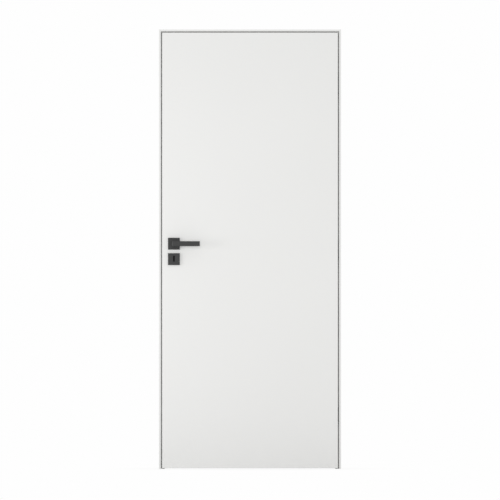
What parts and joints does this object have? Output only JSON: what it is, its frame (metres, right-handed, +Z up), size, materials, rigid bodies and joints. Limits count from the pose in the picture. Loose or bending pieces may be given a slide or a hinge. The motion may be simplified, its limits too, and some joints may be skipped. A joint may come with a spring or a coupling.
{
  "type": "flush door with concealed frame",
  "caption": "Plain white flush door leaf on hidden hinges in a thin concealed frame, with a dark square lever handle, roses and a keyhole escutcheon.",
  "frame": {"origin": "on the wall face of the hinge jamb, half way through its depth, at floor level", "axes": "+X out of the hinge jamb into the wall, to the right as seen from the front, +Y from the front to the back, +Z up"},
  "size_m": [0.8486, 0.156, 2.048],
  "materials": {
    "frame_white": "white powder coat",
    "leaf_white": "white lacquer, satin",
    "leaf_edge": "white lacquered edge",
    "leaf_filling": "chipboard core board, hidden",
    "seal_rubber": "soft pale grey",
    "hinge_steel": "dark burnished",
    "pin_steel": "plain",
    "lock_steel": "brushed",
    "latch_plastic": "matt",
    "handle_black": "matt anthracite"
  },
  "bodies": {
    "frame": {"lock_jamb": "frame_white", "hinge_jamb": "frame_white", "frame_head": "frame_white", "lock_stop": "frame_white", "hinge_stop": "frame_white", "head_stop": "frame_white", "lock_seal": "seal_rubber", "hinge_seal": "seal_rubber", "head_seal": "seal_rubber", "lower_hinge_bracket": "hinge_steel", "middle_hinge_bracket": "hinge_steel", "upper_hinge_bracket": "hinge_steel", "lower_hinge_pin": "pin_steel", "middle_hinge_pin": "pin_steel", "upper_hinge_pin": "pin_steel", "strike_plate": "lock_steel"},
    "leaf": {"front_skin": "leaf_white", "back_skin": "leaf_white", "lock_stile": "leaf_edge", "hinge_stile": "leaf_edge", "top_rail": "leaf_edge", "bottom_rail": "leaf_edge", "leaf_core": "leaf_filling", "mortise_lock": "lock_steel", "latch_bolt": "latch_plastic", "dead_bolt": "lock_steel", "front_rose": "handle_black", "back_rose": "handle_black", "front_escutcheon": "handle_black", "back_escutcheon": "handle_black", "lower_hinge_arm": "hinge_steel", "middle_hinge_arm": "hinge_steel", "upper_hinge_arm": "hinge_steel"},
    "lever": {"front_lever": "handle_black", "back_lever": "handle_black", "spindle": "pin_steel"}
  },
  "joints": [
    {"name": "leaf_swing", "type": "hinge", "parent": "frame", "child": "leaf", "pos_m": [-0.0045, -0.0302, 0], "axis": [0, 0, 1], "range_deg": [0, 95]},
    {"name": "lever_turn", "type": "hinge", "parent": "leaf", "child": "lever", "pos_m": [-0.7788, -0.015, 1.05], "axis": [0, 1, 0], "range_deg": [0, 40], "stiffness_Nm_per_rad": 1.5, "springref_deg": -34.38}
  ]
}
